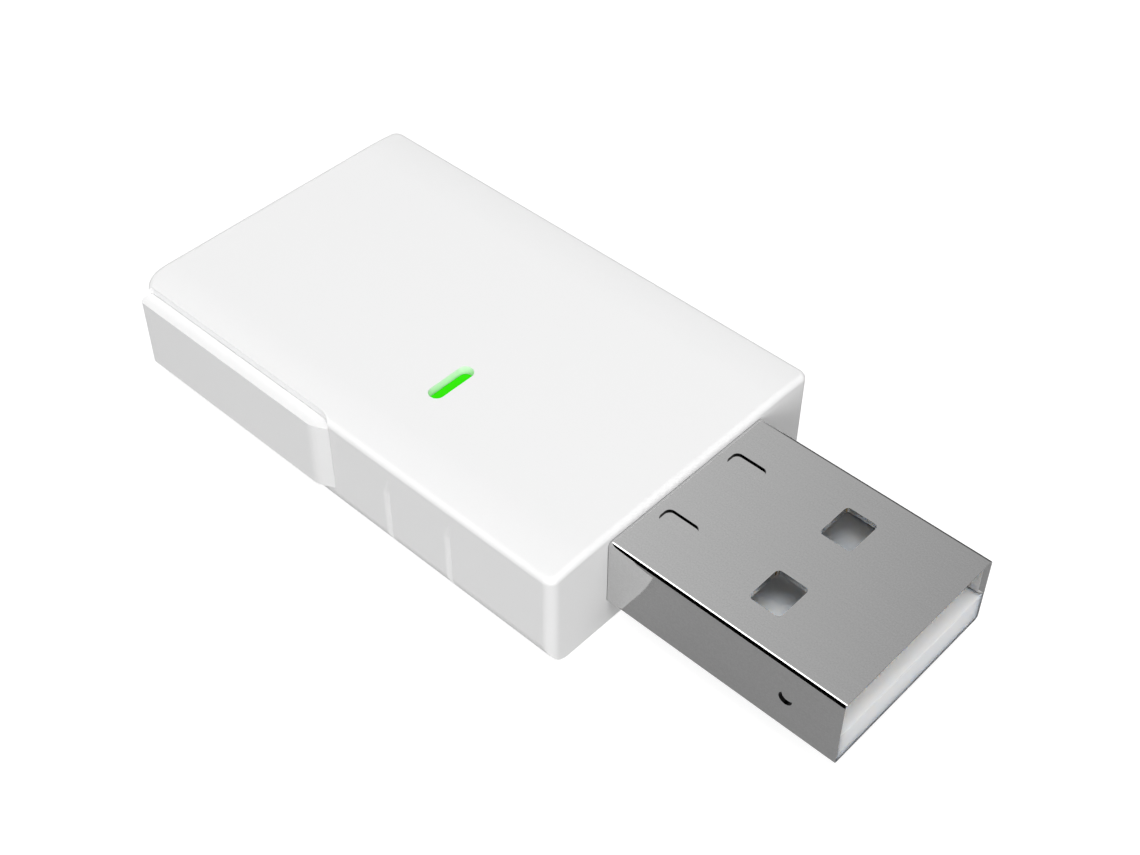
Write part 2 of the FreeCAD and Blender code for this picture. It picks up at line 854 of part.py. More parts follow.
def all_nodes():
    """Every separate piece by name."""
    nodes = {
        "top_shell": top_shell(),
        "bottom_cover": bottom_cover(),
        "side_button": side_button(),
        "light_pipe": light_pipe(),
        "plug_shell": plug_shell(),
        "plug_insulator": plug_insulator(),
        "circuit_board": circuit_board(),
        "switch_body": switch_body(),
        "switch_plunger": switch_plunger(),
        "status_lamp": status_lamp(),
        "shield_can": shield_can(),
        "radio_chip": chip_block(radio_back, radio_side, radio_size, radio_size, radio_height),
        "radio_crystal": chip_block(radio_back, crystal_side, crystal_length, crystal_width, crystal_height),
        "memory_chip": chip_block(memory_back, memory_side, memory_length, memory_width, memory_height),
        "voltage_regulator": leaded_chip(front_row, regulator_side, regulator_length, regulator_width,
                                         regulator_height),
        "power_inductor": chip_block(front_row, -inductor_side, inductor_size, inductor_size,
                                     inductor_height, 0.4),
        "surge_protector": leaded_chip(front_row, 0, protector_length, protector_width, protector_height),
        "chip_antenna": chip_block(antenna_back, antenna_side, antenna_length, antenna_width,
                                   antenna_height, 0),
        "capacitors": chip_group(capacitor_places, chip_cap_height),
        "resistors": chip_group(resistor_places, chip_resistor_height),
    }
    for name, (y, setback) in contact_rows().items():
        nodes[name] = contact(y, setback)
    return nodes


def main():
    os.makedirs("parts", exist_ok=True)
    for name, shape in all_nodes().items():
        shape.exportStep("parts/" + name + ".step")
        print(name, len(shape.Solids), shape.isValid(), round(shape.Volume, 2))


main()
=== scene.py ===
import bpy
import numpy as np
from bpy.props import FloatProperty, FloatVectorProperty, PointerProperty
from mathutils import Matrix, Vector


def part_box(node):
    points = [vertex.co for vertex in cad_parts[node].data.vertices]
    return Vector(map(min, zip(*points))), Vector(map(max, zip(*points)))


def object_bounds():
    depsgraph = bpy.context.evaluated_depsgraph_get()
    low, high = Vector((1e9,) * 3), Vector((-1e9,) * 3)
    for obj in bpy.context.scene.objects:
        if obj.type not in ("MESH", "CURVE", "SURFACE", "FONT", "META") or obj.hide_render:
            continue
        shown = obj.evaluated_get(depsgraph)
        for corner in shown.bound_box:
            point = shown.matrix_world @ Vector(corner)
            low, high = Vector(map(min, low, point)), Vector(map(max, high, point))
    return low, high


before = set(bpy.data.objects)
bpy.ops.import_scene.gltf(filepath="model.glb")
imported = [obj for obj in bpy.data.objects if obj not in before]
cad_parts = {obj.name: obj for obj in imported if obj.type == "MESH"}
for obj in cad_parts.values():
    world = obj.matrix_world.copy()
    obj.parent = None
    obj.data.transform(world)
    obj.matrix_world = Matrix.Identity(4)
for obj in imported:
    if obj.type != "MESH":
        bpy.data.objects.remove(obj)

bl_info = {
    "name": "Gateway Dongle",
    "version": (1, 0, 0),
    "blender": (4, 5, 0),
    "location": "View3D > Sidebar > Gateway",
    "description": "Dresses a radio gateway stick: moulded housing, plug, lit lens, board and studio",
    "category": "Object",
}

CAD_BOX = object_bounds()
PLUG_REACH = float(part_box("plug_shell")[1][0])
PLUG_TOP = float(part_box("plug_shell")[1][2])
PIPE_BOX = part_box("light_pipe")

WHITE = (1.0, 1.0, 1.0, 1.0)
# Painted shade: near-black colour put on the steep walls round the plug's pressed tabs and dimples.
PAINTED_PRESS_SHADE = (0.015, 0.015, 0.015, 1.0)
STEEP_LIMIT = 0.5
SHEET_SKIN = 0.000005
ROLLING_STRETCH = (0.03, 1.0, 1.0)
TONGUE_SPREAD = (1.0, 0.9, 0.8)

RESISTOR_COLOUR = (0.03, 0.03, 0.035)
FERRITE_COLOUR = (0.05, 0.05, 0.055)
ANTENNA_COLOUR = (0.75, 0.72, 0.62)
PLUNGER_COLOUR = (0.35, 0.35, 0.36)
RESIN_COLOUR = (0.7, 0.75, 0.4)

# Directions from the object to the lamps, and the place that they look at.
OVERHEAD_SIDE = (0.12, -0.2, 0.97)
FRONT_SIDE = (0.6, -0.75, 0.26)
MOUTH_SIDE = (0.82, 0.0, 0.57)
OBJECT_MIDDLE = (-0.009, 0.0, 0.0)

# Directions in the room: the far side where the even light falls off, the band of flags, and the strip.
FAR_SIDE = (0.1, 0.75)
FLAG_BAND = (-0.65, -0.05)
FLAG_LEVELS = (0.3, 0.8)
STRIP_ALONG = (-0.55, -0.18)
STRIP_ACROSS = (-0.2, 0.2)
STRIP_HEIGHT = (0.55, 0.6)

# The fitted camera's right, down and ahead directions.
CAMERA_RIGHT = (0.73212992, 0.68114556, 0.0051483)
CAMERA_DOWN = (0.4855614, -0.51657561, -0.70525156)
CAMERA_AHEAD = (-0.47771948, 0.51883558, -0.70893846)
SENSOR_WIDTH = 36.0


class HousingSettings(bpy.types.PropertyGroup):
    """Colours and grain of the moulded pieces."""

    shell_colour: FloatVectorProperty(
        name="Shell Colour", description="White of the moulded housing and its cover",
        subtype="COLOR", size=3, min=0.0, max=1.0, default=(0.86, 0.86, 0.86))
    button_colour: FloatVectorProperty(
        name="Button Colour", description="White of the side button",
        subtype="COLOR", size=3, min=0.0, max=1.0, default=(0.86, 0.86, 0.86))
    roughness: FloatProperty(
        name="Roughness", description="Satin of the tool surface", default=0.58, min=0.0, max=1.0)
    grain_size: FloatProperty(
        name="Grain Size", description="Width of one grain of the tool's spark finish",
        default=0.00012, min=0.00002, max=0.002, precision=5, unit="LENGTH")
    grain_depth: FloatProperty(
        name="Grain Depth", description="Height of the grain",
        default=0.0000012, min=0.0, max=0.0001, precision=7, unit="LENGTH")


class PlugSettings(bpy.types.PropertyGroup):
    """Metal and plastic of the plug."""

    steel_colour: FloatVectorProperty(
        name="Steel Colour", description="Nickel plating on the shell",
        subtype="COLOR", size=3, min=0.0, max=1.0, default=(0.67, 0.67, 0.67))
    steel_roughness: FloatProperty(
        name="Steel Roughness", description="Polish of the rolled sheet", default=0.07, min=0.0, max=1.0)
    half_width: FloatProperty(
        name="Half Width", description="Distance of the plug's sides from its middle",
        default=0.006, min=0.0, unit="LENGTH", precision=5)
    # The tab and dimple settings below place the painted shade on the pressed walls of the steel.
    tab_start: FloatProperty(
        name="Tab Start", description="Place along the plug where the pressed tabs start",
        default=0.0005, min=0.0, unit="LENGTH", precision=5)
    tab_end: FloatProperty(
        name="Tab End", description="Place along the plug where the pressed tabs end",
        default=0.0029, min=0.0, unit="LENGTH", precision=5)
    tab_depth: FloatProperty(
        name="Press Depth", description="How deep the tabs and dimples are pressed", default=0.00012,
        min=0.0, unit="LENGTH", precision=5)
    dimple_setback: FloatProperty(
        name="Dimple Setback", description="Distance of the side dimples from the mouth",
        default=0.00313, min=0.0, unit="LENGTH", precision=5)
    dimple_reach: FloatProperty(
        name="Dimple Reach", description="Half of the length searched for a dimple's cut",
        default=0.00045, min=0.0, unit="LENGTH", precision=5)
    haze_size: FloatProperty(
        name="Haze Size", description="Width of one speck of the plating's haze",
        default=0.00009, min=0.00002, max=0.002, precision=5, unit="LENGTH")
    insulator_colour: FloatVectorProperty(
        name="Insulator Colour", description="White of the tongue",
        subtype="COLOR", size=3, min=0.0, max=1.0, default=(0.95, 0.95, 0.95))
    insulator_depth: FloatProperty(
        name="Insulator Depth", description="How far light spreads inside the tongue's plastic",
        default=0.0016, min=0.0, precision=5, unit="LENGTH")
    contact_colour: FloatVectorProperty(
        name="Contact Colour", description="Gold plating on the contacts",
        subtype="COLOR", size=3, min=0.0, max=1.0, default=(0.72, 0.45, 0.15))


class LensSettings(bpy.types.PropertyGroup):
    """Light pipe and its lit face."""

    glow_colour: FloatVectorProperty(
        name="Glow Colour", description="Colour of the lit lens",
        subtype="COLOR", size=3, min=0.0, max=1.0, default=(0.045, 0.85, 0.002))
    glow_strength: FloatProperty(
        name="Glow Strength", description="Brightness of the lit lens", default=0.66, min=0.0, max=10.0)
    lens_colour: FloatVectorProperty(
        name="Lens Colour", description="Plastic of the light pipe",
        subtype="COLOR", size=3, min=0.0, max=1.0, default=(0.006, 0.24, 0.001))
    spill: FloatProperty(
        name="Spill", description="Extra light that the lens sends sideways onto the slot's wall",
        default=0.45, min=0.0, max=10.0)
    face_length: FloatProperty(
        name="Face Length", description="Length of the lit face", default=0.00303, min=0.0,
        unit="LENGTH", precision=5)
    face_width: FloatProperty(
        name="Face Width", description="Width of the lit face", default=0.00093, min=0.0,
        unit="LENGTH", precision=5)
    rim_width: FloatProperty(
        name="Rim Width", description="Width of the darker rim of the lit face", default=0.00009,
        min=0.0, unit="LENGTH", precision=5)
    rim_share: FloatProperty(
        name="Rim Share", description="Brightness of the lens's rounded rim against its face",
        default=0.45, min=0.0, max=1.0)


class BoardSettings(bpy.types.PropertyGroup):
    """Finishes of the board and what is soldered to it."""

    mask_colour: FloatVectorProperty(
        name="Mask Colour", description="Solder mask of the board",
        subtype="COLOR", size=3, min=0.0, max=1.0, default=(0.006, 0.075, 0.025))
    package_colour: FloatVectorProperty(
        name="Package Colour", description="Moulded chip packages",
        subtype="COLOR", size=3, min=0.0, max=1.0, default=(0.012, 0.012, 0.013))
    tin_colour: FloatVectorProperty(
        name="Tin Colour", description="Tinned lids, leads and end caps",
        subtype="COLOR", size=3, min=0.0, max=1.0, default=(0.62, 0.62, 0.6))
    ceramic_colour: FloatVectorProperty(
        name="Ceramic Colour", description="Capacitor bodies",
        subtype="COLOR", size=3, min=0.0, max=1.0, default=(0.38, 0.22, 0.11))


class StageSettings(bpy.types.PropertyGroup):
    """Floor, room, lamps and camera."""

    floor_size: FloatProperty(
        name="Floor Size", description="Side of the floor", default=4.0, min=0.2, unit="LENGTH")
    floor_colour: FloatVectorProperty(
        name="Floor Colour", description="Paint of the floor",
        subtype="COLOR", size=3, min=0.0, max=1.0, default=(0.3, 0.3, 0.3))
    floor_lift: FloatProperty(
        name="Floor Lift", description="White added to the floor where it is seen as the background",
        default=0.86, min=0.0, max=1.0)
    contact_gap: FloatProperty(
        name="Contact Gap", description="Nearer than this the floor lets light through to the underside",
        default=0.0008, min=0.0, precision=5, unit="LENGTH")
    floor_mirror: FloatProperty(
        name="Floor Mirror", description="Grey added to the floor where metal mirrors it",
        default=0.03, min=0.0, max=1.0)
    room_level: FloatProperty(
        name="Room Level", description="Even light from all round", default=0.4, min=0.0, max=2.0)
    far_share: FloatProperty(
        name="Far Share", description="Light from the far side of the room against the even light",
        default=0.5, min=0.0, max=1.0)
    mirror_level: FloatProperty(
        name="Mirror Level", description="Grey of the room where metal mirrors it",
        default=0.55, min=0.0, max=2.0)
    strip_level: FloatProperty(
        name="Strip Level", description="Bright strip overhead that metal edges mirror",
        default=3.0, min=0.0, max=20.0)
    overhead_power: FloatProperty(
        name="Overhead Power", description="Power of the overhead softbox",
        default=4.4, min=0.0, subtype="POWER", unit="POWER")
    front_power: FloatProperty(
        name="Front Power", description="Power of the low softbox at the near front",
        default=3.6, min=0.0, subtype="POWER", unit="POWER")
    mouth_power: FloatProperty(
        name="Mouth Power", description="Power of the fill that looks into the plug's mouth",
        default=1.4, min=0.0, subtype="POWER", unit="POWER")
    lamp_distance: FloatProperty(
        name="Lamp Distance", description="Distance of the lamps", default=0.9, min=0.05, unit="LENGTH")
    lamp_size: FloatProperty(
        name="Lamp Size", description="Side of each softbox", default=0.45, min=0.01, unit="LENGTH")
    camera_place: FloatVectorProperty(
        name="Camera Place", description="Place of the camera",
        subtype="TRANSLATION", size=3, unit="LENGTH", default=(0.03663548, -0.04862990, 0.06671671))
    camera_lens: FloatProperty(
        name="Camera Lens", description="Focal length on a 36 mm wide sensor", default=55.156, min=1.0)


def linked(tree, value, socket):
    """Joins an output to a socket, or writes a plain number or colour on it."""
    if isinstance(value, bpy.types.NodeSocket):
        tree.links.new(value, socket)
    else:
        socket.default_value = value


def shader_group(name, inputs, outputs):
    """New node group with named inputs (name, type, default) and outputs (name, type)."""
    group = bpy.data.node_groups.new(name, "ShaderNodeTree")
    for label, kind, default in inputs:
        socket = group.interface.new_socket(name=label, in_out="INPUT", socket_type=kind)
        socket.default_value = default
    for label, kind in outputs:
        group.interface.new_socket(name=label, in_out="OUTPUT", socket_type=kind)
    entry = group.nodes.new("NodeGroupInput")
    leave = group.nodes.new("NodeGroupOutput")
    return group, entry.outputs, leave.inputs


def math_node(tree, operation, first, second=0.0, third=0.0):
    """Output of one math step."""
    node = tree.nodes.new("ShaderNodeMath")
    node.operation = operation
    for value, socket in zip((first, second, third), node.inputs):
        linked(tree, value, socket)
    return node.outputs[0]


def ramp_node(tree, value, low, high, at_low=0.0, at_high=1.0):
    """Smooth step of a value from one level to another."""
    node = tree.nodes.new("ShaderNodeMapRange")
    node.interpolation_type = "SMOOTHSTEP"
    linked(tree, value, node.inputs["Value"])
    for name, number in (("From Min", low), ("From Max", high), ("To Min", at_low), ("To Max", at_high)):
        linked(tree, number, node.inputs[name])
    return node.outputs["Result"]


def window_node(tree, value, low, high, edge):
    """One inside an interval and nothing outside it, with soft ends."""
    rise = ramp_node(tree, value, low - edge, low + edge)
    fall = ramp_node(tree, value, high - edge, high + edge, 1.0, 0.0)
    return math_node(tree, "MULTIPLY", rise, fall)


def axes_of(tree, vector):
    """The three numbers of a vector."""
    node = tree.nodes.new("ShaderNodeSeparateXYZ")
    linked(tree, vector, node.inputs[0])
    return node.outputs


def noise_node(tree, vector, scale, detail=2.0, roughness=0.5):
    """Smooth noise, 0 to 1, over a vector."""
    node = tree.nodes.new("ShaderNodeTexNoise")
    node.noise_dimensions = "3D"
    linked(tree, vector, node.inputs["Vector"])
    linked(tree, scale, node.inputs["Scale"])
    node.inputs["Detail"].default_value = detail
    node.inputs["Roughness"].default_value = roughness
    return node.outputs["Fac"]


def mould_grain_group():
    """Spark-eroded tool finish: fine noise for the height, a slower noise that shifts roughness and tone."""
    group, given, put = shader_group(
        "Mould Grain",
        [("Vector", "NodeSocketVector", (0, 0, 0)), ("Grain Size", "NodeSocketFloat", 0.0001),
         ("Roughness", "NodeSocketFloat", 0.4), ("Spread", "NodeSocketFloat", 0.05)],
        [("Height", "NodeSocketFloat"), ("Roughness", "NodeSocketFloat"), ("Tone", "NodeSocketFloat")])
    scale = math_node(group, "DIVIDE", 1.0, given["Grain Size"])
    fine = noise_node(group, given["Vector"], scale, 3.0, 0.6)
    slow = noise_node(group, given["Vector"], math_node(group, "MULTIPLY", scale, 0.03), 2.0)
    swing = math_node(group, "MULTIPLY", math_node(group, "SUBTRACT", slow, 0.5), given["Spread"])
    speck = math_node(group, "MULTIPLY", math_node(group, "SUBTRACT", fine, 0.5), given["Spread"])
    linked(group, fine, put["Height"])
    total = math_node(group, "ADD", given["Roughness"], math_node(group, "ADD", swing, speck))
    linked(group, total, put["Roughness"])
    linked(group, math_node(group, "MULTIPLY_ADD", speck, 0.4, 1.0), put["Tone"])
    return group


def plating_haze_group():
    """Rolled and plated sheet: isotropic specks plus faint rolling lines along one axis."""
    group, given, put = shader_group(
        "Plating Haze",
        [("Vector", "NodeSocketVector", (0, 0, 0)), ("Speck Size", "NodeSocketFloat", 0.0001),
         ("Roughness", "NodeSocketFloat", 0.15), ("Spread", "NodeSocketFloat", 0.05),
         ("Mottle", "NodeSocketFloat", 0.3)],
        [("Height", "NodeSocketFloat"), ("Roughness", "NodeSocketFloat"), ("Tone", "NodeSocketFloat")])
    scale = math_node(group, "DIVIDE", 1.0, given["Speck Size"])
    specks = noise_node(group, given["Vector"], scale, 2.0, 0.55)
    stretch = group.nodes.new("ShaderNodeMapping")
    stretch.inputs["Scale"].default_value = ROLLING_STRETCH
    linked(group, given["Vector"], stretch.inputs["Vector"])
    lines = noise_node(group, stretch.outputs[0], math_node(group, "MULTIPLY", scale, 0.6), 2.0, 0.6)
    both = math_node(group, "MULTIPLY_ADD", lines, 0.2, math_node(group, "MULTIPLY", specks, 0.8))
    centred = math_node(group, "SUBTRACT", both, 0.5)
    linked(group, both, put["Height"])
    rough = math_node(group, "MULTIPLY_ADD", centred, given["Spread"], given["Roughness"])
    linked(group, rough, put["Roughness"])
    linked(group, math_node(group, "MULTIPLY_ADD", centred, given["Mottle"], 1.0), put["Tone"])
    return group


def painted_press_shade_group():
    """Mask for painted shade on the walls that a press leaves round a tab: steep faces in a box below the
    sheet's top.
    """
    group, given, put = shader_group(
        "Painted Press Shade",
        [("Vector", "NodeSocketVector", (0, 0, 0)), ("Normal", "NodeSocketVector", (0, 0, 1)),
         ("Top", "NodeSocketFloat", 0.002), ("Depth", "NodeSocketFloat", 0.0002),
         ("Start", "NodeSocketFloat", 0.0), ("End", "NodeSocketFloat", 0.003)],
        [("Mask", "NodeSocketFloat")])
    x, y, z = axes_of(group, given["Vector"])
    upright = math_node(group, "ABSOLUTE", axes_of(group, given["Normal"])[2])
    steep = math_node(group, "LESS_THAN", upright, STEEP_LIMIT)
    low = math_node(group, "SUBTRACT", given["Top"], given["Depth"])
    high = math_node(group, "SUBTRACT", given["Top"], SHEET_SKIN)
    sunk = math_node(group, "MULTIPLY", math_node(group, "GREATER_THAN", z, low),
                     math_node(group, "LESS_THAN", z, high))
    along = math_node(group, "MULTIPLY", math_node(group, "GREATER_THAN", x, given["Start"]),
                      math_node(group, "LESS_THAN", x, given["End"]))
    both = math_node(group, "MULTIPLY", steep, math_node(group, "MULTIPLY", sunk, along))
    linked(group, both, put["Mask"])
    return group


def group_once(name, build):
    """The named node group, built the first time that it is asked for."""
    return bpy.data.node_groups.get(name) or build()


def new_material(name):
    """Empty node material with a Principled shader and object coordinates."""
    material = bpy.data.materials.new(name)
    material.use_nodes = True
    tree = material.node_tree
    tree.nodes.clear()
    shader = tree.nodes.new("ShaderNodeBsdfPrincipled")
    output = tree.nodes.new("ShaderNodeOutputMaterial")
    tree.links.new(shader.outputs[0], output.inputs["Surface"])
    place = tree.nodes.new("ShaderNodeTexCoord").outputs["Object"]
    return material, tree, shader, place


def finish_surface(tree, shader, place, build, size, colour, roughness, spread, depth):
    """Feeds one effect group's tone, roughness and height to a shader."""
    node = tree.nodes.new("ShaderNodeGroup")
    node.node_tree = group_once(*build)
    linked(tree, place, node.inputs["Vector"])
    node.inputs[1].default_value = size
    node.inputs["Roughness"].default_value = roughness
    node.inputs["Spread"].default_value = spread
    tone = tree.nodes.new("ShaderNodeMix")
    tone.data_type = "RGBA"
    tone.blend_type = "MULTIPLY"
    tone.inputs["Factor"].default_value = 1.0
    tone.inputs["A"].default_value = (*colour, 1.0)
    linked(tree, node.outputs["Tone"], tone.inputs["B"])
    linked(tree, tone.outputs["Result"], shader.inputs["Base Color"])
    linked(tree, node.outputs["Roughness"], shader.inputs["Roughness"])
    bump = tree.nodes.new("ShaderNodeBump")
    bump.inputs["Strength"].default_value = 1.0
    bump.inputs["Distance"].default_value = depth
    linked(tree, node.outputs["Height"], bump.inputs["Height"])
    linked(tree, bump.outputs["Normal"], shader.inputs["Normal"])


GRAIN = ("Mould Grain", mould_grain_group)
HAZE = ("Plating Haze", plating_haze_group)


def moulded(name, colour, roughness=0.42, size=0.00012, depth=0.0000012, spread=0.06):
    """Moulded plastic with a tool's grain."""
    material, tree, shader, place = new_material(name)
    finish_surface(tree, shader, place, GRAIN, size, colour, roughness, spread, depth)
    shader.inputs["IOR"].default_value = 1.5
    shader.inputs["Specular IOR Level"].default_value = 0.35
    return material


def plated(name, colour, roughness=0.2, size=0.00009, depth=0.0000004, spread=0.08):
    """Plated or tinned metal."""
    material, tree, shader, place = new_material(name)
    finish_surface(tree, shader, place, HAZE, size, colour, roughness, spread, depth)
    shader.inputs["Metallic"].default_value = 1.0
    return material


def dress(node, *materials):
    """Puts materials on a CAD node's own slots."""
    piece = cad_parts[node]
    if not piece.material_slots:
        piece.data.materials.append(materials[0])
    for index, slot in enumerate(piece.material_slots):
        slot.material = materials[min(index, len(materials) - 1)]
    return piece


def mesh_piece(name, points, faces, material):
    """Object at the origin from arrays of points and faces, with smooth faces."""
    mesh = bpy.data.meshes.new(name)
    mesh.from_pydata(points.tolist(), [], [list(face) for face in faces])
    mesh.polygons.foreach_set("use_smooth", np.ones(len(mesh.polygons), dtype=bool))
    mesh.materials.append(material)
    mesh.update()
    piece = bpy.data.objects.new(name, mesh)
    bpy.context.scene.collection.objects.link(piece)
    return piece


class GATEWAY_OT_housing(bpy.types.Operator):
    """Dress the moulded shell, cover and button"""

    bl_idname = "gateway.housing"
    bl_label = "Housing"

    def execute(self, context):
        s = context.scene.gateway_housing
        shell = moulded("Shell White", s.shell_colour, s.roughness, s.grain_size, s.grain_depth)
        button = moulded("Button White", s.button_colour, s.roughness, s.grain_size, s.grain_depth)
        dress("top_shell", shell)
        dress("bottom_cover", shell)
        dress("side_button", button)
        return {"FINISHED"}


class GATEWAY_OT_plug(bpy.types.Operator):
    """Dress the plug's shell, tongue and contacts"""

    bl_idname = "gateway.plug"
    bl_label = "Plug"

    def execute(self, context):
        s = context.scene.gateway_plug
        steel = self.steel(s)
        tongue = moulded("Tongue White", s.insulator_colour, 0.5, 0.00015)
        body = next(node for node in tongue.node_tree.nodes if node.type == "BSDF_PRINCIPLED")
        body.inputs["Subsurface Weight"].default_value = 1.0
        body.inputs["Subsurface Radius"].default_value = TONGUE_SPREAD
        body.inputs["Subsurface Scale"].default_value = s.insulator_depth
        gold = plated("Gold Plating", s.contact_colour, 0.22)
        dress("plug_shell", steel)
        dress("plug_insulator", tongue)
        for node in ("contact_power", "contact_data_minus", "contact_data_plus", "contact_ground"):
            dress(node, gold)
        return {"FINISHED"}

    def steel(self, s):
        """Plated sheet whose pressed walls, round the tabs and the side dimples, carry painted shade: a
        near-black colour where they mirror the dark room.
        """
        material = plated("Nickel Plating", s.steel_colour, s.steel_roughness, s.haze_size)
        tree = material.node_tree
        shader = next(node for node in tree.nodes if node.type == "BSDF_PRINCIPLED")
        place = tree.nodes.new("ShaderNodeTexCoord").outputs["Object"]
        normal = tree.nodes.new("ShaderNodeNewGeometry").outputs["True Normal"]
        tabs = self.cut(tree, place, normal, PLUG_TOP, s.tab_depth, s.tab_start, s.tab_end)
        middle = PLUG_REACH - s.dimple_setback
        dimples = self.cut(tree, self.on_side(tree, place), self.on_side(tree, normal), s.half_width,
                           s.tab_depth, middle - s.dimple_reach, middle + s.dimple_reach)
        # Painted shade: the masked walls take the near-black colour in place of the plating.
        dark = tree.nodes.new("ShaderNodeMix")
        dark.data_type = "RGBA"
        linked(tree, math_node(tree, "MAXIMUM", tabs, dimples), dark.inputs["Factor"])
        linked(tree, shader.inputs["Base Color"].links[0].from_socket, dark.inputs["A"])
        dark.inputs["B"].default_value = PAINTED_PRESS_SHADE
        linked(tree, dark.outputs["Result"], shader.inputs["Base Color"])
        return material

    def on_side(self, tree, vector):
        """Turns a vector so that the plug's sides take the place of its top."""
        x, y, z = axes_of(tree, vector)
        turned = tree.nodes.new("ShaderNodeCombineXYZ")
        for value, socket in zip((x, z, math_node(tree, "ABSOLUTE", y)), turned.inputs):
            linked(tree, value, socket)
        return turned.outputs[0]

    def cut(self, tree, place, normal, top, depth, start, end):
        """Mask of the painted shade on the pressed walls in one box below the sheet's top."""
        node = tree.nodes.new("ShaderNodeGroup")
        node.node_tree = group_once("Painted Press Shade", painted_press_shade_group)
        linked(tree, place, node.inputs["Vector"])
        linked(tree, normal, node.inputs["Normal"])
        for name, number in (("Top", top), ("Depth", depth), ("Start", start), ("End", end)):
            node.inputs[name].default_value = number
        return node.outputs["Mask"]


class GATEWAY_OT_lens(bpy.types.Operator):
    """Dress the light pipe and light its face"""

    bl_idname = "gateway.lens"
    bl_label = "Lit Lens"

    def execute(self, context):
        s = context.scene.gateway_lens
        glow, tree, shader, place = new_material("Lit Lens Green")
        finish_surface(tree, shader, place, GRAIN, 0.0002, s.lens_colour, 0.4, 0.05, 0.0000008)
        shader.inputs["Specular IOR Level"].default_value = 0.05
        lit = tree.nodes.new("ShaderNodeMix")
        lit.data_type = "RGBA"
        linked(tree, self.rim(tree, place, s), lit.inputs["Factor"])
        lit.inputs["A"].default_value = (*s.glow_colour, 1.0)
        lit.inputs["B"].default_value = (*[c * s.rim_share for c in s.glow_colour], 1.0)
        linked(tree, lit.outputs["Result"], shader.inputs["Emission Color"])
        sideways = tree.nodes.new("ShaderNodeLightPath").outputs["Is Diffuse Ray"]
        linked(tree, math_node(tree, "MULTIPLY_ADD", sideways, s.spill, s.glow_strength),
               shader.inputs["Emission Strength"])
        dress("light_pipe", glow)
        return {"FINISHED"}

    def rim(self, tree, place, s):
        """Mask of the face's rim: distance from the stadium's middle line, against its half-width."""
        x, y, z = axes_of(tree, place)
        middle = [float(PIPE_BOX[0][axis] + PIPE_BOX[1][axis]) / 2 for axis in (0, 1)]
        across = math_node(tree, "SUBTRACT", x, middle[0])
        along = math_node(tree, "ABSOLUTE", math_node(tree, "SUBTRACT", y, middle[1]))
        half = s.face_width / 2
        past = math_node(tree, "MAXIMUM", math_node(tree, "SUBTRACT", along, s.face_length / 2 - half), 0.0)
        squares = math_node(tree, "ADD", math_node(tree, "MULTIPLY", across, across),
                            math_node(tree, "MULTIPLY", past, past))
        away = math_node(tree, "SQRT", squares)
        return ramp_node(tree, away, half - s.rim_width, half - s.rim_width / 3)


class GATEWAY_OT_board(bpy.types.Operator):
    """Dress the board, the switch and the parts that are soldered on"""

    bl_idname = "gateway.board"
    bl_label = "Board"

    def execute(self, context):
        s = context.scene.gateway_board
        mask = moulded("Solder Mask", s.mask_colour, 0.35, 0.0004, 0.000001)
        package = moulded("Chip Package", s.package_colour, 0.6, 0.00008, 0.0000015)
        tin = plated("Tinned Sheet", s.tin_colour, 0.3)
        ceramic = moulded("Capacitor Ceramic", s.ceramic_colour, 0.45, 0.00006)
        dress("circuit_board", mask)
        for node in ("radio_chip", "memory_chip", "voltage_regulator", "surge_protector", "switch_body"):
            dress(node, package)
        dress("shield_can", tin)
        dress("radio_crystal", tin)
        dress("capacitors", ceramic)
        dress("resistors", moulded("Resistor Glaze", RESISTOR_COLOUR, 0.3, 0.00006))
        dress("power_inductor", moulded("Ferrite", FERRITE_COLOUR, 0.7, 0.0001, 0.000002))
        dress("chip_antenna", moulded("Antenna Ceramic", ANTENNA_COLOUR, 0.5, 0.00008))
        dress("switch_plunger", moulded("Plunger Grey", PLUNGER_COLOUR, 0.5))
        dress("status_lamp", moulded("Lamp Resin", RESIN_COLOUR, 0.2))
        return {"FINISHED"}


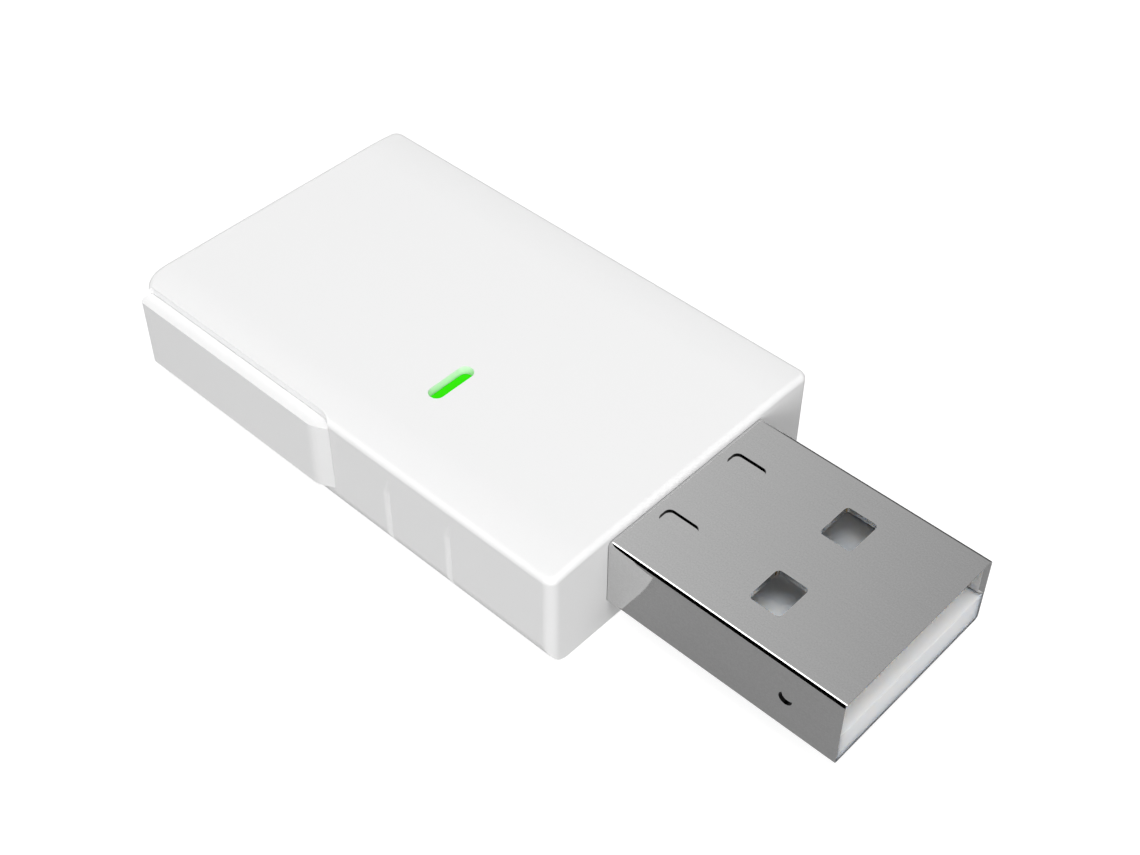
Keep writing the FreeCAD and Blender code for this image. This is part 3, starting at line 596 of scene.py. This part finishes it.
class GATEWAY_OT_stage(bpy.types.Operator):
    """Floor, soft lamps, room light and the camera"""

    bl_idname = "gateway.stage"
    bl_label = "Stage"

    def execute(self, context):
        s = context.scene.gateway_stage
        self.floor(s)
        self.room(context, s)
        self.lamp(context, s, "overhead_softbox", s.overhead_power, OVERHEAD_SIDE)
        self.lamp(context, s, "front_softbox", s.front_power, FRONT_SIDE)
        self.lamp(context, s, "mouth_fill", s.mouth_power, MOUTH_SIDE)
        self.camera(context, s)
        context.scene.view_settings.view_transform = "Standard"
        return {"FINISHED"}

    def floor(self, s):
        """Pale floor that keeps the object's shadow, reads as white background, and is open to a
        camera below it and to light within the contact gap."""
        material, tree, shader, place = new_material("Floor White")
        shader.inputs["Roughness"].default_value = 0.9
        shader.inputs["Specular IOR Level"].default_value = 0.0
        paint = tree.nodes.new("ShaderNodeMix")
        paint.data_type = "RGBA"
        paint.inputs["A"].default_value = (*[c * 0.995 for c in s.floor_colour], 1.0)
        paint.inputs["B"].default_value = (*s.floor_colour, 1.0)
        linked(tree, noise_node(tree, place, 30.0), paint.inputs["Factor"])
        linked(tree, paint.outputs["Result"], shader.inputs["Base Color"])
        path = tree.nodes.new("ShaderNodeLightPath")
        seen = math_node(tree, "MAXIMUM", path.outputs["Is Camera Ray"], path.outputs["Is Transmission Ray"])
        mirrored = math_node(tree, "MULTIPLY", path.outputs["Is Glossy Ray"], s.floor_mirror)
        shader.inputs["Emission Color"].default_value = WHITE
        linked(tree, math_node(tree, "MULTIPLY_ADD", seen, s.floor_lift, mirrored),
               shader.inputs["Emission Strength"])
        lighting = math_node(tree, "MAXIMUM", path.outputs["Is Diffuse Ray"], path.outputs["Is Shadow Ray"])
        under = math_node(tree, "MULTIPLY", lighting,
                          math_node(tree, "LESS_THAN", path.outputs["Ray Length"], s.contact_gap))
        back = tree.nodes.new("ShaderNodeNewGeometry").outputs["Backfacing"]
        linked(tree, math_node(tree, "SUBTRACT", 1.0, math_node(tree, "MAXIMUM", back, under)),
               shader.inputs["Alpha"])
        half = s.floor_size / 2
        level = float(CAD_BOX[0][2])
        corners = [(-half, -half), (half, -half), (half, half), (-half, half)]
        points = np.array([(x, y, level) for x, y in corners])
        floor = mesh_piece("floor", points, [(0, 1, 2, 3)], material)

    def room(self, context, s):
        """Soft light that falls off towards the far side, white where the room is seen as the
        background, and a grey studio with dark flags and one bright strip where metal mirrors it."""
        world = bpy.data.worlds.new("Studio Room")
        context.scene.world = world
        world.use_nodes = True
        tree = world.node_tree
        tree.nodes.clear()
        x, y, z = axes_of(tree, tree.nodes.new("ShaderNodeTexCoord").outputs["Object"])
        slope = math_node(tree, "MULTIPLY_ADD", x, -1.0, math_node(tree, "MULTIPLY_ADD", y, -0.5, 0.5015))
        darkest, palest = FLAG_LEVELS
        clear = math_node(tree, "MINIMUM", math_node(tree, "MAXIMUM", slope, darkest), palest)
        clear = math_node(tree, "MULTIPLY", clear, ramp_node(tree, y, -0.25, 0.15))
        clear = math_node(tree, "MULTIPLY", clear, ramp_node(tree, z, 0.25, 0.6))
        flagged = window_node(tree, x, *FLAG_BAND, 0.1)
        grey = math_node(tree, "MULTIPLY_ADD", flagged, math_node(tree, "SUBTRACT", clear, s.mirror_level),
                         s.mirror_level)
        strip = math_node(tree, "MULTIPLY", window_node(tree, x, *STRIP_ALONG, 0.04),
                          window_node(tree, y, *STRIP_ACROSS, 0.03))
        strip = math_node(tree, "MULTIPLY", strip, ramp_node(tree, z, *STRIP_HEIGHT, 0.0, s.strip_level))
        mirrored = math_node(tree, "ADD", grey, strip)
        path = tree.nodes.new("ShaderNodeLightPath")
        seen = math_node(tree, "MAXIMUM", path.outputs["Is Camera Ray"], path.outputs["Is Transmission Ray"])
        glossy = path.outputs["Is Glossy Ray"]
        even = ramp_node(tree, y, *FAR_SIDE, s.room_level, s.room_level * s.far_share)
        level = math_node(tree, "MULTIPLY_ADD", glossy, math_node(tree, "SUBTRACT", mirrored, even), even)
        background = tree.nodes.new("ShaderNodeBackground")
        background.inputs["Color"].default_value = WHITE
        linked(tree, math_node(tree, "MAXIMUM", level, seen), background.inputs["Strength"])
        output = tree.nodes.new("ShaderNodeOutputWorld")
        linked(tree, background.outputs[0], output.inputs["Surface"])

    def lamp(self, context, s, name, power, direction):
        """Square softbox that looks at the object and shows neither to the camera nor in gloss."""
        data = bpy.data.lights.new(name, "AREA")
        data.shape = "SQUARE"
        data.size = s.lamp_size
        data.energy = power
        lamp = bpy.data.objects.new(name, data)
        context.scene.collection.objects.link(lamp)
        aim = Vector(direction).normalized()
        turn = aim.to_track_quat("Z", "Y").to_matrix().to_4x4()
        place = Vector(OBJECT_MIDDLE) + aim * s.lamp_distance
        lamp.matrix_world = Matrix.Translation(place) @ turn
        lamp.visible_camera = False
        lamp.visible_glossy = False

    def camera(self, context, s):
        """Camera at the fitted place, whose own axes are right, up and backwards."""
        data = bpy.data.cameras.new("camera")
        data.sensor_fit = "HORIZONTAL"
        data.sensor_width = SENSOR_WIDTH
        data.lens = s.camera_lens
        data.clip_start = 0.001
        camera = bpy.data.objects.new("camera", data)
        context.scene.collection.objects.link(camera)
        right, down, ahead = Vector(CAMERA_RIGHT), Vector(CAMERA_DOWN), Vector(CAMERA_AHEAD)
        turn = Matrix((right, -down, -ahead)).transposed().to_4x4()
        camera.matrix_world = Matrix.Translation(s.camera_place) @ turn
        context.scene.camera = camera


class GATEWAY_PT_sidebar(bpy.types.Panel):
    """Lists the gateway's operators and settings"""

    bl_idname = "GATEWAY_PT_sidebar"
    bl_label = "Gateway Dongle"
    bl_space_type = "VIEW_3D"
    bl_region_type = "UI"
    bl_category = "Gateway"

    def draw(self, context):
        scene = context.scene
        for operator, group in ROWS:
            box = self.layout.box()
            box.operator(operator.bl_idname)
            settings = getattr(scene, group)
            for name in settings.__annotations__:
                box.prop(settings, name)


GROUPS = {
    "gateway_housing": HousingSettings,
    "gateway_plug": PlugSettings,
    "gateway_lens": LensSettings,
    "gateway_board": BoardSettings,
    "gateway_stage": StageSettings,
}
ROWS = (
    (GATEWAY_OT_housing, "gateway_housing"),
    (GATEWAY_OT_plug, "gateway_plug"),
    (GATEWAY_OT_lens, "gateway_lens"),
    (GATEWAY_OT_board, "gateway_board"),
    (GATEWAY_OT_stage, "gateway_stage"),
)
CLASSES = (*GROUPS.values(), *(operator for operator, group in ROWS), GATEWAY_PT_sidebar)


def register():
    for cls in CLASSES:
        bpy.utils.register_class(cls)
    for name, group in GROUPS.items():
        setattr(bpy.types.Scene, name, PointerProperty(type=group))


def unregister():
    for name in GROUPS:
        delattr(bpy.types.Scene, name)
    for cls in reversed(CLASSES):
        bpy.utils.unregister_class(cls)


def main():
    register()
    bpy.ops.gateway.housing()
    bpy.ops.gateway.plug()
    bpy.ops.gateway.lens()
    bpy.ops.gateway.board()
    bpy.ops.gateway.stage()


if __name__ == "__main__":
    main()
